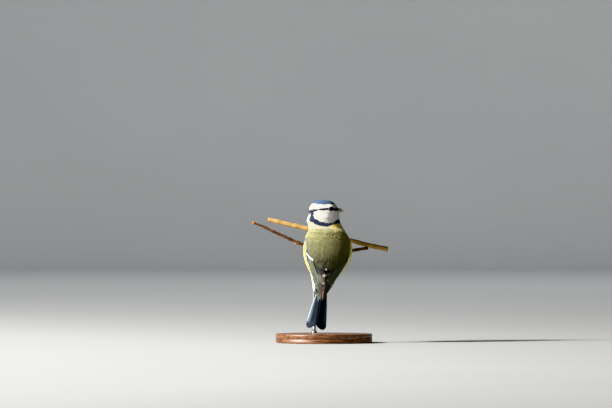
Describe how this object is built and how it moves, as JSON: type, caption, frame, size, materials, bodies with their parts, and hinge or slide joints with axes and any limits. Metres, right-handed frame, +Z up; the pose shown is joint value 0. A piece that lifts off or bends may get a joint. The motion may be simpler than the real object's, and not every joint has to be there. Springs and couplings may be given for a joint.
{
  "type": "blue tit",
  "caption": "Life-size small songbird clinging to a cut twig, head turned to its right, on a round display stand.",
  "frame": {"origin": "centre of the stand's underside, on the surface that it rests on", "axes": "+Z up. The bird faces +Y with its back to -Y, its right side to +X and its head turned towards +X"},
  "size_m": [0.1193, 0.084, 0.1248],
  "materials": {
    "head_feathers": "soft matte plumage: blue cap, white face, dark eye line and collar",
    "body_feathers": "soft matte plumage: olive green back, yellow flanks and breast",
    "wing_feathers": "blue grey vanes with pale edges and one white bar",
    "tail_feathers": "blue vanes, darker inner webs",
    "bill_horn": "dark horn with a paler cutting edge",
    "eye": "wet gloss",
    "leg_scales": "scaled slate skin and dark claws",
    "tan_bark": "smooth young bark",
    "dark_bark": "dark young bark with buds",
    "base_wood": "satin stained wood",
    "rod_steel": "brushed"
  },
  "bodies": {
    "root": {"head": "head_feathers", "neck": "body_feathers", "torso": "body_feathers", "wing_left": "wing_feathers", "wing_right": "wing_feathers", "tail": "tail_feathers", "bill_upper": "bill_horn", "bill_lower": "bill_horn", "eye_left": "eye", "eye_right": "eye", "thigh_left": "body_feathers", "thigh_right": "body_feathers", "foot_left": "leg_scales", "foot_right": "leg_scales", "perch_main": "tan_bark", "perch_side": "dark_bark", "stand_base": "base_wood", "stand_rod": "rod_steel"}
  },
  "joints": []
}
